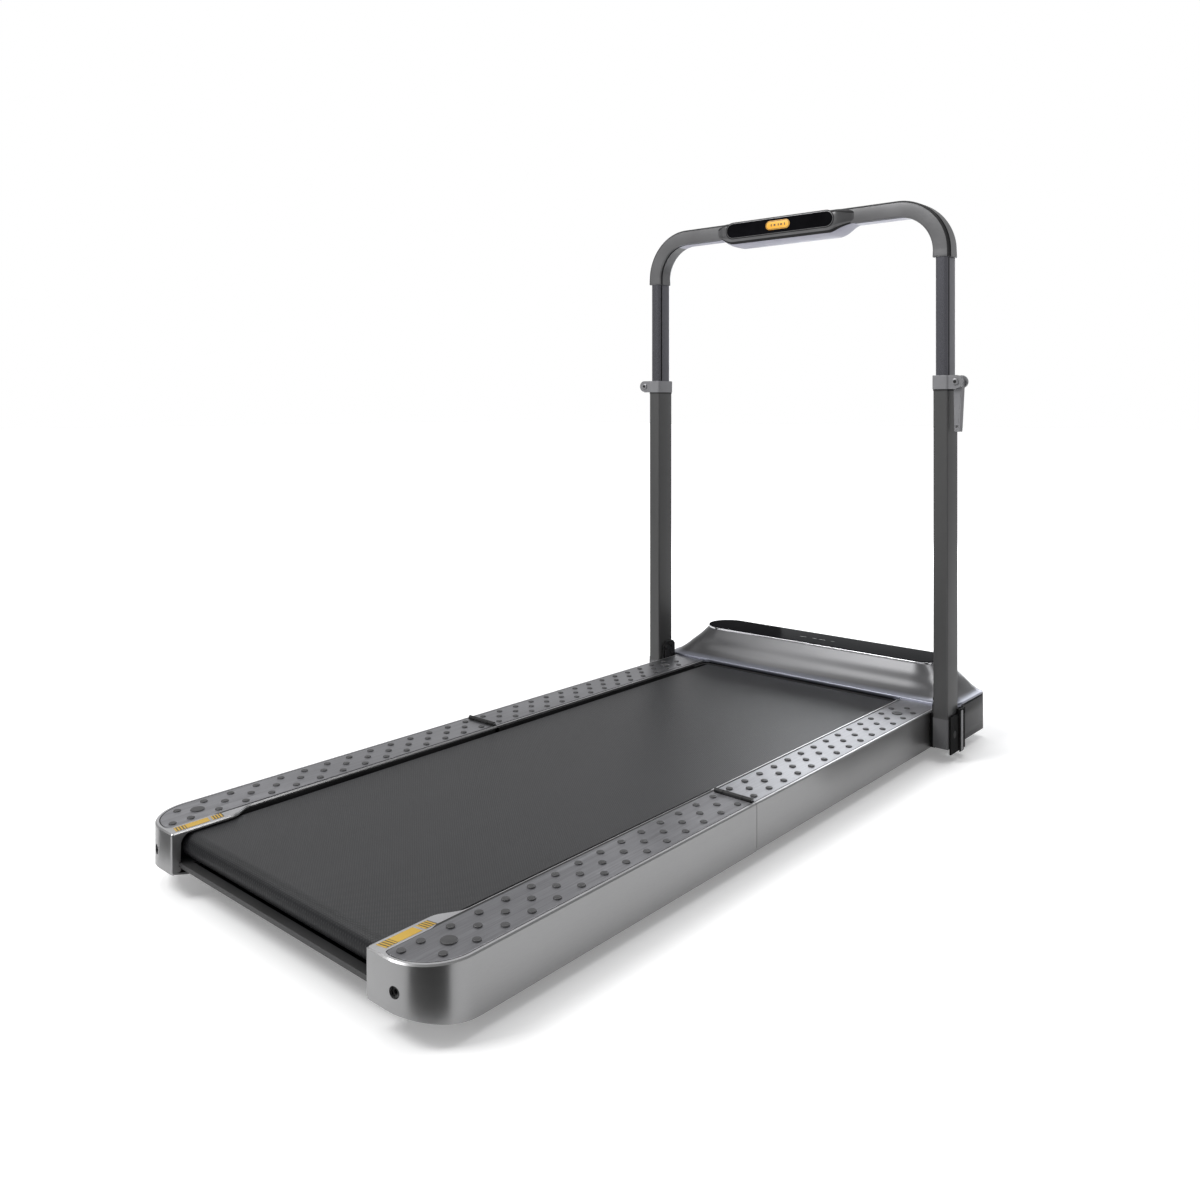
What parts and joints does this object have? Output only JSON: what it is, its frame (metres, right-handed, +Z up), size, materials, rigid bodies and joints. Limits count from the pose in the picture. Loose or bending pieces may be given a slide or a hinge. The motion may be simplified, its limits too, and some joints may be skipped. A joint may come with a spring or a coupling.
{
  "type": "folding walking treadmill",
  "caption": "Folding walking treadmill: deck hinged across the middle, belt drive in a front hood, and a fold-down telescopic handrail with a console.",
  "frame": {"origin": "on the floor, under the middle of the machine's bounding box", "axes": "+Y towards the hood, the way the walker faces; +X to the walker's right; +Z up"},
  "size_m": [0.778, 1.445, 1.083],
  "materials": {
    "frame_black": "satin black powder coat",
    "cover_plastic": "moulded, fine grain",
    "rail_skin": "satin grey anodised, polished chamfer",
    "foot_plate": "brushed",
    "grip_rubber": "matt",
    "board": "waxed dark board",
    "belt": "fine diamond weave",
    "roller_steel": "turned steel",
    "pulley_plastic": "moulded",
    "motor": "black enamel",
    "circuit": "green circuit board",
    "hood": "satin silver paint",
    "bezel": "thin bright rim",
    "display_glass": "gloss black",
    "label": "printed yellow film",
    "upright_metal": "satin dark grey",
    "collar_plastic": "fine moulded grain",
    "inner_metal": "dark anodised",
    "handle": "satin dark grey"
  },
  "bodies": {
    "front_deck": {"front_frame": "frame_black", "front_rail_left": "rail_skin", "front_rail_right": "rail_skin", "front_foot_plates": "foot_plate", "front_foot_dots": "grip_rubber", "front_running_board": "board", "belt_front": "belt", "front_roller_axle": "roller_steel", "front_roller_bearings": "roller_steel", "drive_belt": "pulley_plastic", "motor": "motor", "motor_mount": "roller_steel", "control_board": "circuit", "hood_shell": "hood", "hood_tray": "cover_plastic", "display_bezel": "bezel", "display_panel": "display_glass", "power_inlet": "pulley_plastic", "wheel_axles": "roller_steel", "front_feet": "grip_rubber", "front_bottom_cover": "cover_plastic", "upright_brackets": "frame_black", "upright_pivot_pins": "roller_steel", "deck_hinge_front": "frame_black", "deck_hinge_pins": "roller_steel"},
    "rear_deck": {"deck_hinge_rear": "frame_black", "rear_frame": "frame_black", "rear_rail_left": "rail_skin", "rear_rail_right": "rail_skin", "rear_foot_plates": "foot_plate", "rear_foot_dots": "grip_rubber", "rear_running_board": "board", "belt_rear": "belt", "rear_roller_axle": "roller_steel", "rear_roller_bearings": "roller_steel", "tension_bolts": "roller_steel", "tail_crossbar": "frame_black", "tail_labels": "label", "rear_feet": "grip_rubber", "rear_bottom_cover": "cover_plastic"},
    "front_roller": {"front_roller": "roller_steel", "roller_pulley": "pulley_plastic"},
    "rear_roller": {"rear_roller": "roller_steel"},
    "motor_rotor": {"motor_pulley": "roller_steel"},
    "wheels": {"transport_wheels": "grip_rubber"},
    "power_switch": {"power_switch": "pulley_plastic"},
    "uprights": {"outer_tube_left": "upright_metal", "outer_tube_right": "upright_metal", "tube_end_caps": "cover_plastic", "collar_left": "collar_plastic", "collar_right": "collar_plastic", "clamp_bolts": "roller_steel"},
    "lever": {"clamp_lever": "collar_plastic"},
    "handle": {"inner_tube_left": "inner_metal", "inner_tube_right": "inner_metal", "handle_shell": "handle", "console_housing": "handle", "console_glass": "display_glass"},
    "base_lock_left": {"base_lock_left": "collar_plastic"},
    "base_lock_right": {"base_lock_right": "collar_plastic"}
  },
  "joints": [
    {"name": "deck_fold", "type": "hinge", "parent": "front_deck", "child": "rear_deck", "pos_m": [0, -0.0944, 0.0928], "axis": [-1, 0, 0], "range_deg": [0, 180]},
    {"name": "handrail_fold", "type": "hinge", "parent": "front_deck", "child": "uprights", "pos_m": [0, 0.5364, 0.0514], "axis": [1, 0, 0], "range_deg": [0, 83]},
    {"name": "handle_slide", "type": "slide", "parent": "uprights", "child": "handle", "axis": [0, 0, 1], "range_m": [-0.222, 0]},
    {"name": "clamp_lever_turn", "type": "hinge", "parent": "uprights", "child": "lever", "pos_m": [0.3745, 0.526, 0.726], "axis": [0, -1, 0], "range_deg": [0, 100]},
    {"name": "base_lock_left_kick", "type": "hinge", "parent": "front_deck", "child": "base_lock_left", "pos_m": [-0.366, 0.5645, 0.0945], "axis": [0, 1, 0], "range_deg": [0, 12]},
    {"name": "base_lock_right_kick", "type": "hinge", "parent": "front_deck", "child": "base_lock_right", "pos_m": [0.366, 0.5645, 0.0945], "axis": [0, -1, 0], "range_deg": [0, 12]},
    {"name": "front_roller_spin", "type": "hinge", "parent": "front_deck", "child": "front_roller", "pos_m": [0, 0.6, 0.067], "axis": [1, 0, 0], "continuous": true},
    {"name": "rear_roller_spin", "type": "hinge", "parent": "rear_deck", "child": "rear_roller", "pos_m": [0, -0.687, 0.067], "axis": [1, 0, 0], "continuous": true},
    {"name": "motor_spin", "type": "hinge", "parent": "front_deck", "child": "motor_rotor", "pos_m": [0, 0.668, 0.062], "axis": [1, 0, 0], "continuous": true},
    {"name": "wheels_spin", "type": "hinge", "parent": "front_deck", "child": "wheels", "pos_m": [0, 0.69, 0.026], "axis": [1, 0, 0], "continuous": true},
    {"name": "power_switch_rock", "type": "hinge", "parent": "front_deck", "child": "power_switch", "pos_m": [0, 0.7155, 0.05], "axis": [1, 0, 0], "range_deg": [0, 10]}
  ],
  "couplings": [
    {"joint": "rear_roller_spin", "follows": "front_roller_spin", "ratio": 1},
    {"joint": "motor_spin", "follows": "front_roller_spin", "ratio": 2.5}
  ]
}
